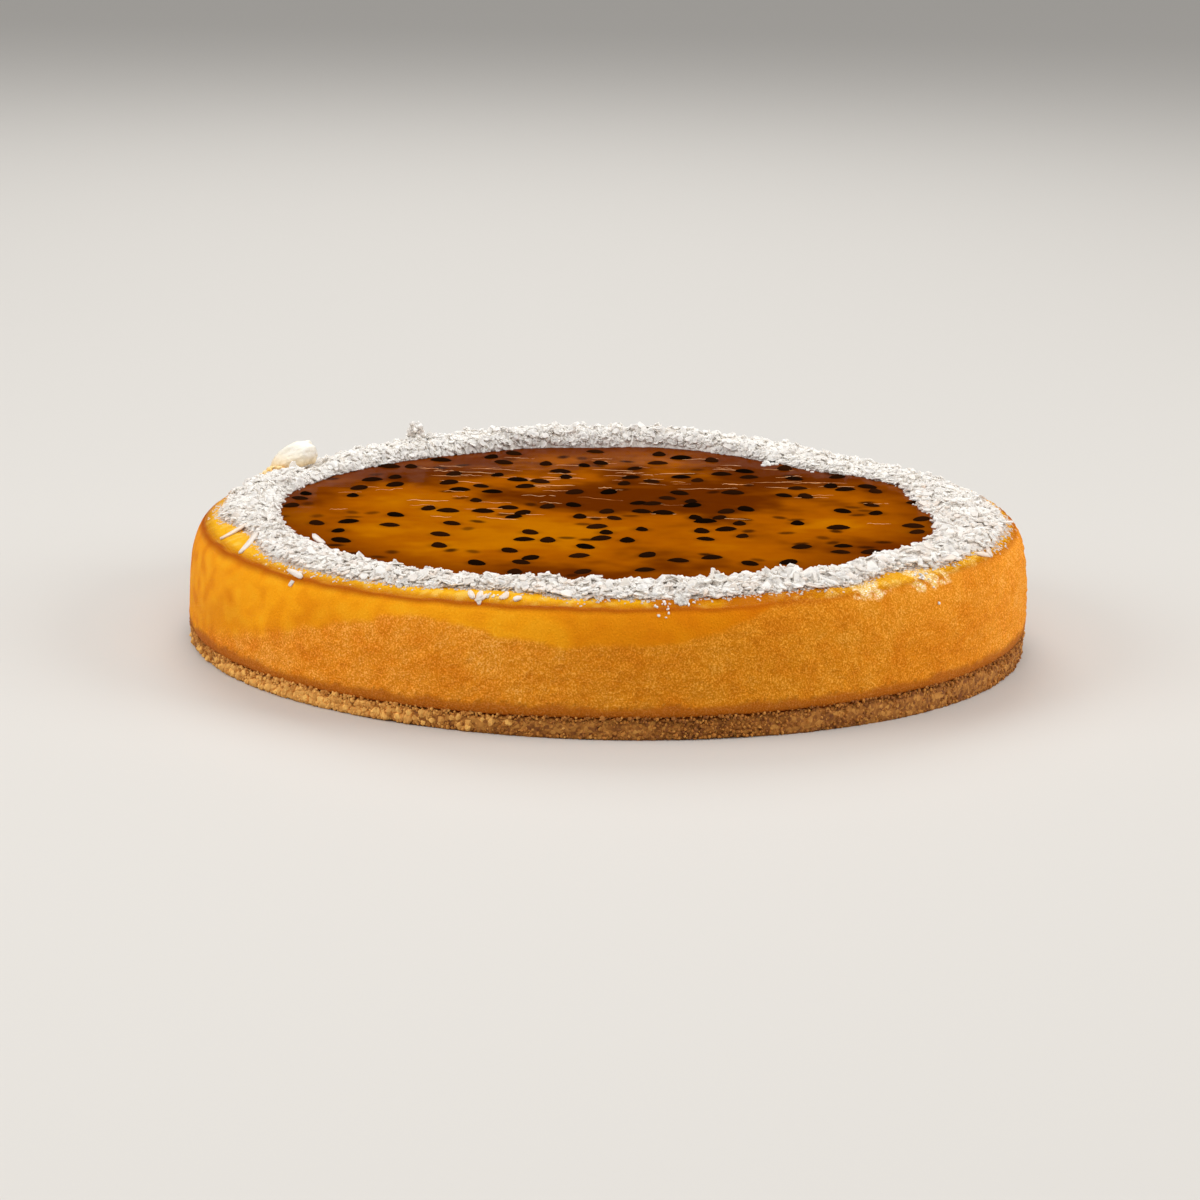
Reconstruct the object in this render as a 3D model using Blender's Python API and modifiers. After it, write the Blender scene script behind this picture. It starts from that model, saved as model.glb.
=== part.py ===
"""A round baked cheesecake: crumb base, baked filling, passion fruit jelly with its seeds, a ring of coconut
and a lump of cream on the rim. Metres, +Z up, -Y to the front. The origin is the middle of the underside."""

from math import atan2, cos, hypot, pi, radians, sin
from random import Random

import bmesh
import bpy
from mathutils import Euler, Matrix, Vector, noise

# The cake comes from a springform tin 260 mm across.
TIN_RADIUS = 0.1303
CRUMB_HEIGHT = 0.0062
FILLING_TOP = 0.0402
LIP_RADIUS = 0.1262
LIP_HEIGHT = 0.0374

# The crumb layer is thicker on the right, so all that lies on it slopes up towards +X.
SLOPE = 0.014
# The cake has relaxed out of the tin's true circle by this much.
WOBBLE = 0.0004
GAP = 0.0003

CRUMB_GRAIN = 0.0045
CRUMB_GRAIN_DEPTH = 0.0009
CRUMB_CLUMP = 0.0170
CRUMB_CLUMP_DEPTH = 0.0008
BROKEN_MIDDLE = radians(-133.0)
BROKEN_WIDTH = radians(24.0)
BROKEN_DEPTH = 0.0012

JELLY_RADIUS = 0.1120
JELLY_BED = 0.0380
JELLY_TOP = 0.0404
SEED_HALF_SIZE = Vector((0.0028, 0.0019, 0.0010))
SEED_PROUD = 0.0005
SEED_COUNT = 130
SEED_SPACING = 0.0068
# Seeds lie closer together in a patch just behind the jelly's middle.
PATCH_MIDDLE = Vector((0.010, 0.012))
PATCH_INNER = 0.012
PATCH_OUTER = 0.035
PATCH_CLOSENESS = 0.45

RING_INSIDE = 0.1034
RING_OUTSIDE = 0.1232
RING_EDGE = 0.0009
RING_CREST = 0.0014
# The ring's underside is straight between its points over the rounded shoulder, so it needs more room.
RING_GAP = 0.0008
RING_RAGGED = 0.0012
# Where the ring's edges and crest leave their even line: each stretch's middle, half width and how far.
INNER_EDGE_STRETCHES = (
    (radians(48.0), radians(26.0), -0.0078),
    (radians(8.0), radians(24.0), -0.0050),
    (radians(82.0), radians(15.0), 0.0048),
    (radians(-22.0), radians(12.0), 0.0025),
    (radians(-95.0), radians(78.0), 0.0034),
)
OUTER_EDGE_STRETCHES = ((radians(-130.0), radians(42.0), -0.0030),)
CREST_STRETCHES = ((radians(88.0), radians(72.0), 0.0035), (radians(172.0), radians(40.0), 0.0009))

FLAKE_SPREAD = 0.0026
FLAKE_RELIEF = 0.0015
FLAKE_COUNT = 30
FLAKE_LENGTH = (0.0060, 0.0090)
FLAKE_WIDTH = 0.0034
FLAKE_THICKNESS = 0.0026
FLAKE_TILT = 0.16
TUFT_ANGLE = radians(124.5)
TUFT_RADIUS = 0.1150
TUFT_FOOT = 0.0040
# Each flake of the tuft: its place along X, its lean in radians and its length.
TUFT_FLAKES = ((-0.0016, -0.5, 0.0080), (0.0002, -0.1, 0.0092), (0.0019, 0.45, 0.0070))

LUMP_PLACE = Vector((-0.1030, 0.0600, 0.0))
LUMP_HALF_SIZE = Vector((0.0074, 0.0060, 0.0043))
LUMP_TURN = radians(-12.0)
LUMP_LEAN = 0.12
LUMP_BED = 0.0014
LUMP_NEST = (0.0075, 0.0120)
LUMP_CLEAR = 0.0180

ROUND_STEPS = 96
CRUMB_STEPS = 200
RING_STEPS = 200


def smooth_step(low, high, value):
    t = min(max((value - low) / (high - low), 0.0), 1.0)
    return t * t * (3.0 - 2.0 * t)


def bump(angle, middle, width):
    """1 at the angle called middle and 0 a width away from it, round the circle."""
    away = abs((angle - middle + pi) % (2.0 * pi) - pi)
    return 1.0 - smooth_step(0.0, width, away)


def stretched(angle, stretches):
    """How far an edge leaves its even line at this angle."""
    return sum(depth * bump(angle, middle, width) for middle, width, depth in stretches)


def height_on(profile, radius):
    """The height of a profile's upper side at this radius."""
    for (r0, z0), (r1, z1) in zip(profile, profile[1:]):
        if r0 <= radius <= r1 and r1 > r0:
            return z0 + (z1 - z0) * (radius - r0) / (r1 - r0)
    return profile[-1][1]


def settled(point):
    """Where a point of the true turned form lies in the real cake, not quite round and not quite level."""
    angle = atan2(point.y, point.x)
    wobble = 1.0 + WOBBLE / TIN_RADIUS * (cos(2.0 * angle + 0.6) + 0.6 * cos(3.0 * angle - 1.1))
    x = point.x * wobble
    lift = SLOPE * x * min(point.z / CRUMB_HEIGHT, 1.0)
    return Vector((x, point.y * wobble, point.z + lift))


def new_material(name, colour, roughness):
    made = bpy.data.materials.new(name)
    made.use_nodes = True
    shader = made.node_tree.nodes["Principled BSDF"]
    shader.inputs["Base Color"].default_value = (*colour, 1.0)
    shader.inputs["Roughness"].default_value = roughness
    shader.inputs["Metallic"].default_value = 0.0
    return made


def new_part(name, mesh, material, smooth_angle):
    mesh.name = name
    mesh.materials.clear()
    mesh.materials.append(material)
    mesh.shade_smooth()
    mesh.set_sharp_from_angle(angle=smooth_angle)
    part = bpy.data.objects.new(name, mesh)
    cake.objects.link(part)
    return part


def final_mesh(source):
    """A mesh of the object with its modifiers applied. The object itself is removed."""
    bpy.context.view_layer.update()
    graph = bpy.context.evaluated_depsgraph_get()
    made = bpy.data.meshes.new_from_object(source.evaluated_get(graph))
    bpy.data.objects.remove(source)
    return made


def turned(profile, steps, closed=False):
    """The mesh that a profile of (radius, height) points makes when it is turned round the Z axis."""
    outline = bpy.data.meshes.new("outline")
    edges = [(i, i + 1) for i in range(len(profile) - 1)]
    if closed:
        edges.append((len(profile) - 1, 0))
    outline.from_pydata([(radius, 0.0, height) for radius, height in profile], edges, [])
    spinner = bpy.data.objects.new("outline", outline)
    cake.objects.link(spinner)
    screw = spinner.modifiers.new("turn", "SCREW")
    screw.axis = "Z"
    screw.angle = 2.0 * pi
    screw.steps = steps
    screw.render_steps = steps
    screw.use_merge_vertices = True
    screw.merge_threshold = 0.00002
    return final_mesh(spinner)


def move_points(mesh, where):
    for vertex in mesh.vertices:
        vertex.co = where(vertex.co.copy())


def drop_scraps(mesh):
    """Keeps only the largest connected body of the mesh."""
    bm = bmesh.new()
    bm.from_mesh(mesh)
    left = set(bm.verts)
    bodies = []
    while left:
        front = [left.pop()]
        body = set(front)
        while front:
            for edge in front.pop().link_edges:
                for vertex in edge.verts:
                    if vertex in left:
                        left.remove(vertex)
                        body.add(vertex)
                        front.append(vertex)
        bodies.append(body)
    largest = max(bodies, key=len)
    bmesh.ops.delete(bm, geom=[v for v in bm.verts if v not in largest], context="VERTS")
    bm.to_mesh(mesh)
    bm.free()


def fused(core, pieces):
    """The core mesh with the pieces joined on to it by one Boolean union."""
    heap = bpy.data.collections.new("pieces")
    bpy.context.scene.collection.children.link(heap)
    for mesh in pieces:
        heap.objects.link(bpy.data.objects.new("piece", mesh))
    body = bpy.data.objects.new("core", core)
    cake.objects.link(body)
    union = body.modifiers.new("fuse", "BOOLEAN")
    union.operation = "UNION"
    union.operand_type = "COLLECTION"
    union.collection = heap
    union.solver = "EXACT"
    made = final_mesh(body)
    for piece in list(heap.objects):
        bpy.data.objects.remove(piece)
    bpy.data.collections.remove(heap)
    drop_scraps(made)
    return made


def small_mesh(shape, placing):
    """A mesh from a bmesh primitive, where shape adds the primitive and placing is its matrix."""
    bm = bmesh.new()
    shape(bm)
    bm.transform(placing)
    mesh = bpy.data.meshes.new("piece")
    bm.to_mesh(mesh)
    bm.free()
    return mesh


for old in list(bpy.data.objects):
    bpy.data.objects.remove(old)
cake = bpy.data.collections.new("baked_cheesecake")
bpy.context.scene.collection.children.link(cake)


# Crumb base: pressed biscuit crumbs, with a craggy side that has broken away in places.
def crag(point):
    """How far the crumbs have broken away from the side at this point."""
    grain = abs(noise.noise(point / CRUMB_GRAIN))
    clump = max(noise.noise(point / CRUMB_CLUMP), 0.0)
    broken = bump(atan2(point.y, point.x), BROKEN_MIDDLE, BROKEN_WIDTH)
    return (CRUMB_GRAIN_DEPTH + BROKEN_DEPTH * broken) * grain + CRUMB_CLUMP_DEPTH * clump


def crumb_point(point):
    radius = hypot(point.x, point.y)
    if radius > 0.9 * TIN_RADIUS:
        away = crag(point) * smooth_step(0.9 * TIN_RADIUS, 0.98 * TIN_RADIUS, radius)
        point.x *= 1.0 - away / radius
        point.y *= 1.0 - away / radius
    return settled(point)


crumb_profile = [
    (0.0, CRUMB_HEIGHT),
    (TIN_RADIUS - 0.0010, CRUMB_HEIGHT),
    (TIN_RADIUS, CRUMB_HEIGHT - 0.0006),
    (TIN_RADIUS + 0.0002, 0.62 * CRUMB_HEIGHT),
    (TIN_RADIUS, 0.28 * CRUMB_HEIGHT),
    (TIN_RADIUS - 0.0006, 0.0),
    (0.0, 0.0),
]
crumbs = turned(crumb_profile, CRUMB_STEPS)
move_points(crumbs, crumb_point)
new_part("crumb_base", crumbs, new_material("biscuit_crumb", (0.40, 0.15, 0.025), 0.9), radians(40.0))


# Baked filling: a straight side with a browned band at its foot, a rounded shoulder and a bed for the jelly.
filling_top = [
    (JELLY_RADIUS + GAP, FILLING_TOP - 0.0004),
    (JELLY_RADIUS + 0.0016, FILLING_TOP),
    (0.1190, FILLING_TOP - 0.0003),
    (0.1226, FILLING_TOP - 0.0010),
    (0.1247, FILLING_TOP - 0.0019),
    (LIP_RADIUS, LIP_HEIGHT),
]
filling_foot = CRUMB_HEIGHT + GAP
filling_side = [
    (LIP_RADIUS + 0.0014, LIP_HEIGHT - 0.0019),
    (LIP_RADIUS + 0.0026, LIP_HEIGHT - 0.0049),
    (TIN_RADIUS - 0.0006, 0.0285),
    (TIN_RADIUS + 0.0001, 0.0220),
    (TIN_RADIUS + 0.0003, 0.0110),
    (TIN_RADIUS + 0.0005, filling_foot + 0.0026),
    (TIN_RADIUS + 0.0001, filling_foot + 0.0004),
    (TIN_RADIUS - 0.0006, filling_foot),
]
filling_profile = [(0.0, JELLY_BED), (JELLY_RADIUS + GAP, JELLY_BED)] + filling_top + filling_side
filling_profile.append((0.0, filling_foot))
filling = turned(filling_profile, ROUND_STEPS)
move_points(filling, settled)
new_part("baked_filling", filling, new_material("baked_custard", (0.75, 0.32, 0.05), 0.45), radians(50.0))


# Passion fruit jelly: a clear amber disc in the filling's bed, with the fruit's seeds showing at its surface.
def seed_places(count):
    """Places for the seeds: spread evenly, closer in the patch, and none under the coconut."""
    draw = Random(11)
    places = []
    while len(places) < count:
        radius = (RING_INSIDE - 2.0 * SEED_HALF_SIZE.y) * draw.random() ** 0.5
        angle = draw.uniform(-pi, pi)
        place = Vector((radius * cos(angle), radius * sin(angle)))
        in_patch = 1.0 - smooth_step(PATCH_INNER, PATCH_OUTER, (place - PATCH_MIDDLE).length)
        room = SEED_SPACING * (1.0 - PATCH_CLOSENESS * in_patch)
        if all((place - other).length > room for other in places):
            places.append(place)
    return places


def seed_shape(bm):
    bmesh.ops.create_icosphere(bm, subdivisions=1, radius=1.0)


def jelly_slab(bm):
    height = JELLY_TOP - JELLY_BED - GAP
    middle = Matrix.Translation((0.0, 0.0, JELLY_TOP - 0.5 * height))
    radius = JELLY_RADIUS - GAP
    bmesh.ops.create_cone(
        bm, cap_ends=True, segments=ROUND_STEPS, radius1=radius, radius2=radius, depth=height, matrix=middle
    )


turn_seed = Random(5)
seeds = []
for place in seed_places(SEED_COUNT):
    turn = Euler((0.0, 0.0, turn_seed.uniform(0.0, pi))).to_matrix().to_4x4()
    size = Matrix.Diagonal((*(SEED_HALF_SIZE * turn_seed.uniform(0.88, 1.1)), 1.0))
    depth = JELLY_TOP + SEED_PROUD - SEED_HALF_SIZE.z
    seeds.append(small_mesh(seed_shape, Matrix.Translation((*place, depth)) @ turn @ size))
jelly = fused(small_mesh(jelly_slab, Matrix.Identity(4)), seeds)
move_points(jelly, settled)
amber = new_material("passion_fruit_jelly", (0.45, 0.12, 0.003), 0.08)
new_part("passion_fruit_jelly", jelly, amber, radians(35.0))


# Coconut ring: a heap of dry coconut over the jelly's edge, highest at the back, bumpy at its flakes' size.
def ring_edges(angle):
    """The ring's inner and outer radius at this angle."""
    ragged_inside = RING_RAGGED * noise.noise(Vector((angle * 9.0, 0.0, 2.0)))
    ragged_outside = RING_RAGGED * noise.noise(Vector((angle * 7.0, 5.0, 2.0)))
    inside = RING_INSIDE + ragged_inside + stretched(angle, INNER_EDGE_STRETCHES)
    outside = RING_OUTSIDE + ragged_outside + stretched(angle, OUTER_EDGE_STRETCHES)
    return inside, outside


def bed_height(radius):
    """The height at which the ring lies at this radius, on the jelly and on the filling's shoulder."""
    if radius < JELLY_RADIUS + 0.0020:
        return JELLY_TOP + RING_GAP
    return height_on(filling_top, radius) + RING_GAP


def ring_crest(angle):
    """How far the heap rises over its own edges at this angle."""
    uneven = 0.0006 * noise.noise(Vector((angle * 4.0, 1.0, 7.0)))
    return RING_CREST + uneven + stretched(angle, CREST_STRETCHES)


def ring_top(place, share, angle):
    """The heap's height over its bed, where share runs from 0 at the inner edge to 1 at the outer."""
    rounded = (4.0 * share * (1.0 - share)) ** 0.55 * (1.12 - 0.24 * share)
    loose = FLAKE_RELIEF * noise.noise(Vector((place.x, place.y, 0.0)) / FLAKE_SPREAD)
    heap = RING_EDGE + ring_crest(angle) * rounded + loose * (0.4 + rounded)
    under_lump = 1.0 - smooth_step(*LUMP_NEST, (place.xy - LUMP_PLACE.xy).length)
    return heap + (LUMP_BED - heap) * under_lump


def ring_point(point):
    """A point of the ring's plain profile, whose height is 1 on top and 0 underneath, put where it lies."""
    angle = atan2(point.y, point.x)
    share = (hypot(point.x, point.y) - RING_INSIDE) / (RING_OUTSIDE - RING_INSIDE)
    share = min(max(share, 0.0), 1.0)
    inside, outside = ring_edges(angle)
    radius = inside + share * (outside - inside)
    placed = Vector((radius * cos(angle), radius * sin(angle), bed_height(radius)))
    if point.z > 0.5:
        placed.z += ring_top(placed, share, angle)
    return settled(placed)


def flake_shape(bm):
    bmesh.ops.create_cone(bm, cap_ends=True, segments=4, radius1=0.5, radius2=0.32, depth=1.0)


def flake(place, lean, size):
    """One coconut flake: a flat four-sided sliver, leaning as given about its middle."""
    turn = Euler(lean).to_matrix().to_4x4()
    return small_mesh(flake_shape, Matrix.Translation(place) @ turn @ Matrix.Diagonal((*size, 1.0)))


ring_width = RING_OUTSIDE - RING_INSIDE
top_shares = [0.0, 0.13, 0.28, 0.43, 0.58, 0.73, 0.88, 1.0]
bed_shares = [1.0, 0.88, 0.74, 0.54, 0.0]
ring_profile = [(RING_INSIDE + share * ring_width, 1.0) for share in top_shares]
ring_profile += [(RING_INSIDE + share * ring_width, 0.0) for share in bed_shares]
ring = turned(ring_profile, RING_STEPS, closed=True)
move_points(ring, ring_point)

flakes = []
tuft = Vector((TUFT_RADIUS * cos(TUFT_ANGLE), TUFT_RADIUS * sin(TUFT_ANGLE), JELLY_TOP + TUFT_FOOT))
for side, lean, length in TUFT_FLAKES:
    flakes.append(flake(tuft + Vector((side, 0.0, 0.0)), (0.15, lean, 0.3), (FLAKE_WIDTH, 0.0022, length)))
draw_flake = Random(23)
for step in range(FLAKE_COUNT):
    angle = 2.0 * pi * (step + draw_flake.uniform(0.1, 0.9)) / FLAKE_COUNT
    if (RING_OUTSIDE * Vector((cos(angle), sin(angle))) - LUMP_PLACE.xy).length < LUMP_CLEAR:
        continue
    radius = RING_INSIDE + draw_flake.uniform(0.35, 0.8) * ring_width
    foot = ring_point(Vector((radius * cos(angle), radius * sin(angle), 1.0)))
    tip = radians(90.0) + draw_flake.uniform(-FLAKE_TILT, FLAKE_TILT)
    lean = (tip, draw_flake.uniform(-FLAKE_TILT, FLAKE_TILT), draw_flake.uniform(0.0, pi))
    flakes.append(flake(foot, lean, (FLAKE_WIDTH, FLAKE_THICKNESS, draw_flake.uniform(*FLAKE_LENGTH))))
ring = fused(ring, flakes)
new_part("coconut_ring", ring, new_material("dry_coconut", (0.88, 0.84, 0.76), 0.8), radians(30.0))


# Cream lump: one soft knob of cream cheese that lies on the coconut at the back left.
def lump_point(point):
    soft = 1.0 + 0.16 * noise.noise(point * 1.3 + Vector((0.3, 2.1, 0.7))) + 0.07 * noise.noise(point * 3.1)
    shaped = Vector([soft * c * s for c, s in zip(point, LUMP_HALF_SIZE)])
    shaped.z += LUMP_LEAN * shaped.x
    placed = LUMP_PLACE + shaped
    bed = bed_height(hypot(placed.x, placed.y))
    placed.z = max(placed.z + bed + LUMP_BED + 0.7 * LUMP_HALF_SIZE.z, bed + LUMP_BED + GAP)
    return settled(placed)


def lump_shape(bm):
    bmesh.ops.create_icosphere(bm, subdivisions=3, radius=1.0)


lump = small_mesh(lump_shape, Matrix.Rotation(LUMP_TURN, 4, "Z"))
move_points(lump, lump_point)
new_part("cream_lump", lump, new_material("soft_cream", (0.90, 0.82, 0.66), 0.5), radians(60.0))
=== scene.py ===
"""A whole baked cheesecake with passion fruit jelly and a ring of coconut, dressed for a studio picture."""

from math import cos, hypot, pi, radians, sin
from random import Random

import bpy
import numpy as np
from mathutils import Euler, Matrix, Vector, noise
from mathutils.bvhtree import BVHTree


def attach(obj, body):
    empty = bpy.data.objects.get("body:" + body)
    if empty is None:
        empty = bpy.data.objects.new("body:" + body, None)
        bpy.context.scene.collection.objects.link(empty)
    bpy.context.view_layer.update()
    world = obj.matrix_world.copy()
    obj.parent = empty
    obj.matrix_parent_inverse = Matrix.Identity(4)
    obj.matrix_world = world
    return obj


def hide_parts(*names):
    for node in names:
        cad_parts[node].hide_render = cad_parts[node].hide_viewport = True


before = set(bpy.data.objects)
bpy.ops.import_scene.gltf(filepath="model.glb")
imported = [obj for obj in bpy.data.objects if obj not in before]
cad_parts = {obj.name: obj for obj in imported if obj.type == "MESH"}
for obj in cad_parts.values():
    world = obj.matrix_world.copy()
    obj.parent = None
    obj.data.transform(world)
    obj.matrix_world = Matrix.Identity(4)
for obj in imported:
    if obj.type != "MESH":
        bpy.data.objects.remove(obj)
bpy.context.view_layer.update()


# Crumb base.
# Crushed biscuits bound with butter and pressed into the tin before baking, thicker on the right. The side is
# a raw break: angular crumbs with small holes between them, and a crumbled stretch at the front left.
TIN_RADIUS = 0.1303
CRUMB_HEIGHT = 0.0062
SLOPE = 0.014
WOBBLE = 0.0004
CRUMB_ROUND = 1200
CRUMB_ROW = 0.0006
CRAG_DEPTH = 0.0011
HOLLOW_DEPTH = 0.0012
# The crumbled stretch in degrees: its middle, its width to each side, and that of the crumbs round it
# that are painted paler, as painted light.
BROKEN_MIDDLE = -133.0
BROKEN_WIDTH = 24.0
PAINTED_LIGHT_WIDTH = 55.0


def seen(*channels):
    """A colour as it is seen, 0 to 255 a channel, in the linear values that a shader takes."""
    shares = [channel / 255.0 for channel in channels]
    return tuple(((share + 0.055) / 1.055) ** 2.4 if share > 0.04 else share / 12.92 for share in shares)


def ease(low, high, value):
    """0 up to the low value, 1 from the high one, and smooth between them."""
    t = np.clip((value - low) / (high - low), 0.0, 1.0)
    return t * t * (3.0 - 2.0 * t)


def stretch(angle, middle, width):
    """1 at the middle angle, falling to 0 a width away from it, round the cake, with both in degrees."""
    away = np.abs((angle - radians(middle) + pi) % (2.0 * pi) - pi)
    return 1.0 - ease(0.0, radians(width), away)


def lumps(points, size, start=0.0):
    """Smooth noise, mostly within 0.5 of zero, whose lumps have this size, at every point."""
    return np.array([noise.noise(p) for p in (points / size + start).tolist()])


def settled(points):
    """Where points of the true turned form lie in the real cake, not quite round and not quite level."""
    x, y, z = points.T
    angle = np.arctan2(y, x)
    wobble = 1.0 + WOBBLE / TIN_RADIUS * (np.cos(2.0 * angle + 0.6) + 0.6 * np.cos(3.0 * angle - 1.1))
    lift = SLOPE * x * wobble * np.clip(z / CRUMB_HEIGHT, 0.0, 1.0)
    return np.column_stack((x * wobble, y * wobble, z + lift))


def fine_outline(corners, row):
    """An outline of (radius, height) points, one each row along the given corners and eased round them."""
    corners = np.array(corners)
    along = np.concatenate(([0.0], np.cumsum(np.hypot(*np.diff(corners, axis=0).T))))
    steps = np.linspace(0.0, along[-1], max(int(along[-1] / row), 2) + 1)
    line = np.column_stack([np.interp(steps, along, corners[:, k]) for k in (0, 1)])
    for _ in range(3):
        line[1:-1] = 0.25 * line[:-2] + 0.5 * line[1:-1] + 0.25 * line[2:]
    return line.tolist()


def raised_ring_by_ring(name, outline, round_points):
    """Adds a circle and extrudes it ring after ring along the outline, then closes both ends."""
    bpy.ops.object.select_all(action="DESELECT")
    radius, height = outline[0]
    bpy.ops.mesh.primitive_circle_add(vertices=round_points, radius=radius, location=(0.0, 0.0, height))
    piece = bpy.context.object
    piece.name = name
    bpy.ops.object.mode_set(mode="EDIT")
    for next_radius, next_height in outline[1:]:
        bpy.ops.mesh.extrude_region_move(TRANSFORM_OT_translate={"value": (0.0, 0.0, next_height - height)})
        grow = next_radius / radius
        bpy.ops.transform.resize(value=(grow, grow, 1.0), center_override=(0.0, 0.0, next_height))
        radius, height = next_radius, next_height
    bpy.ops.mesh.select_all(action="SELECT")
    bpy.ops.mesh.remove_doubles(threshold=0.000001)
    bpy.ops.mesh.fill_holes(sides=0)
    bpy.ops.mesh.normals_make_consistent(inside=False)
    bpy.ops.object.mode_set(mode="OBJECT")
    bpy.ops.object.transform_apply(location=True, rotation=True, scale=True)
    bpy.ops.object.shade_smooth()
    return piece


def points_of(piece):
    flat = np.empty(len(piece.data.vertices) * 3)
    piece.data.vertices.foreach_get("co", flat)
    return flat.reshape(-1, 3)


def round_the_axis(points):
    """Each point's distance from the cake's axis and its angle round it."""
    return np.hypot(points[:, 0], points[:, 1]), np.arctan2(points[:, 1], points[:, 0])


def put_points(piece, points):
    piece.data.vertices.foreach_set("co", np.ascontiguousarray(points).ravel())
    piece.data.update()


def paint(piece, name, colours):
    """Stores a colour for each point of the piece, for its material to read."""
    layer = piece.data.color_attributes.new(name, "FLOAT_COLOR", "POINT")
    layer.data.foreach_set("color", np.column_stack((colours, np.ones(len(colours)))).ravel())


def mark(piece, name, values):
    """Stores a value for each point of the piece, for its material to read."""
    layer = piece.data.attributes.new(name, "FLOAT", "POINT")
    layer.data.foreach_set("value", np.ascontiguousarray(values, dtype=np.float32))


def blend(share, first, second):
    """Colours between two colours or rows of colours, by a share for each point."""
    share = np.asarray(share)[:, None]
    return np.asarray(first) * (1.0 - share) + np.asarray(second) * share


def dress(piece, material):
    piece.data.materials.clear()
    piece.data.materials.append(material)
    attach(piece, "root")


def add_node(tree, kind, inputs=None, **settings):
    """Adds a node with these settings, and gives each named input a value or another node's output."""
    made = tree.nodes.new(kind)
    for setting, value in settings.items():
        setattr(made, setting, value)
    for key, value in (inputs or {}).items():
        if isinstance(value, bpy.types.NodeSocket):
            tree.links.new(value, made.inputs[key])
        else:
            made.inputs[key].default_value = value
    return made


def new_finish(name, **values):
    """A new material with these values on its Principled shader: (material, node tree, shader)."""
    material = bpy.data.materials.new(name)
    material.use_nodes = True
    shader = material.node_tree.nodes["Principled BSDF"]
    for key, value in values.items():
        shader.inputs[key.replace("_", " ")].default_value = value
    return material, material.node_tree, shader


def ramp_of(tree, share, stops):
    """A colour that follows a share from 0 to 1 through its stops, in order: (share, colour)."""
    ramp = add_node(tree, "ShaderNodeValToRGB", {"Fac": share})
    elements = ramp.color_ramp.elements
    for element, (position, colour) in zip(elements, (stops[0], stops[-1])):
        element.position = position
        element.color = (*colour, 1.0)
    for position, colour in stops[1:-1]:
        elements.new(position).color = (*colour, 1.0)
    return ramp.outputs["Color"]


def toned(tree, *colours):
    """A colour that follows the tone of each copy in a mesh of many, evenly through these colours."""
    tone = add_node(tree, "ShaderNodeAttribute", attribute_name="tone").outputs["Fac"]
    last = len(colours) - 1
    return ramp_of(tree, tone, [(number / last, colour) for number, colour in enumerate(colours)])


def raise_surface(tree, shader, height, strength, distance):
    """Gives the shader a fine relief that follows a height."""
    bump = add_node(tree, "ShaderNodeBump", {"Strength": strength, "Distance": distance, "Height": height})
    tree.links.new(bump.outputs["Normal"], shader.inputs["Normal"])


def grain_group():
    """A node group: speckles a colour with pale grains and darker, redder hollows, and gives their height."""
    group = bpy.data.node_groups.new("baked_grain", "ShaderNodeTree")
    group.interface.new_socket("Colour", in_out="INPUT", socket_type="NodeSocketColor")
    for socket, value in (("Size", 0.001), ("Strength", 0.5)):
        made = group.interface.new_socket(socket, in_out="INPUT", socket_type="NodeSocketFloat")
        made.default_value = value
    group.interface.new_socket("Colour", in_out="OUTPUT", socket_type="NodeSocketColor")
    group.interface.new_socket("Height", in_out="OUTPUT", socket_type="NodeSocketFloat")
    given = group.nodes.new("NodeGroupInput").outputs
    place = add_node(group, "ShaderNodeTexCoord").outputs["Object"]
    scale = add_node(group, "ShaderNodeMath", {0: 1.0, 1: given["Size"]}, operation="DIVIDE").outputs[0]
    noise_in = {"Vector": place, "Scale": scale, "Detail": 3.0, "Roughness": 0.6}
    speckle = add_node(group, "ShaderNodeTexNoise", noise_in).outputs["Fac"]
    height = add_node(group, "ShaderNodeMapRange", {0: speckle, 1: 0.34, 2: 0.66}).outputs[0]
    tint_stops = ((0.0, (0.80, 0.68, 0.50)), (0.5, (0.98, 0.96, 1.00)), (1.0, (1.35, 1.75, 7.00)))
    tinted_in = {0: given["Strength"], 6: given["Colour"], 7: ramp_of(group, height, tint_stops)}
    tinted = add_node(group, "ShaderNodeMix", tinted_in, data_type="RGBA", blend_type="MULTIPLY")
    result = group.nodes.new("NodeGroupOutput").inputs
    group.links.new(tinted.outputs[2], result["Colour"])
    group.links.new(height, result["Height"])
    return group


baked_grain = grain_group()


def grained(tree, shader, colour, size, strength):
    """Gives the shader a colour with the grain over it, and returns the grain's height."""
    grain_in = {"Colour": colour, "Size": size, "Strength": strength}
    grain = add_node(tree, "ShaderNodeGroup", grain_in, node_tree=baked_grain)
    tree.links.new(grain.outputs["Colour"], shader.inputs["Base Color"])
    return grain.outputs["Height"]


crumb_outline = fine_outline(
    [
        (TIN_RADIUS - 0.0100, CRUMB_HEIGHT),
        (TIN_RADIUS - 0.0008, CRUMB_HEIGHT),
        (TIN_RADIUS + 0.0002, 0.80 * CRUMB_HEIGHT),
        (TIN_RADIUS, 0.28 * CRUMB_HEIGHT),
        (TIN_RADIUS - 0.0006, 0.0),
    ],
    CRUMB_ROW,
)
crumb_base = raised_ring_by_ring("biscuit_crumb_base", crumb_outline, CRUMB_ROUND)
points = points_of(crumb_base)
radius, angle = round_the_axis(points)
broken = stretch(angle, BROKEN_MIDDLE, BROKEN_WIDTH)
on_side = ease(TIN_RADIUS - 0.0080, TIN_RADIUS - 0.0020, radius)
crumbly = np.abs(lumps(points, 0.0022, 3.0)) * 0.9 + np.abs(lumps(points, 0.0011, 8.0)) * 0.6
crag = CRAG_DEPTH * (1.0 + broken) * crumbly + HOLLOW_DEPTH * np.maximum(lumps(points, 0.0130), 0.0)
points[:, :2] *= (1.0 - crag * on_side / radius)[:, None]
put_points(crumb_base, settled(points))
mark(crumb_base, "crag", crumbly)

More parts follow.
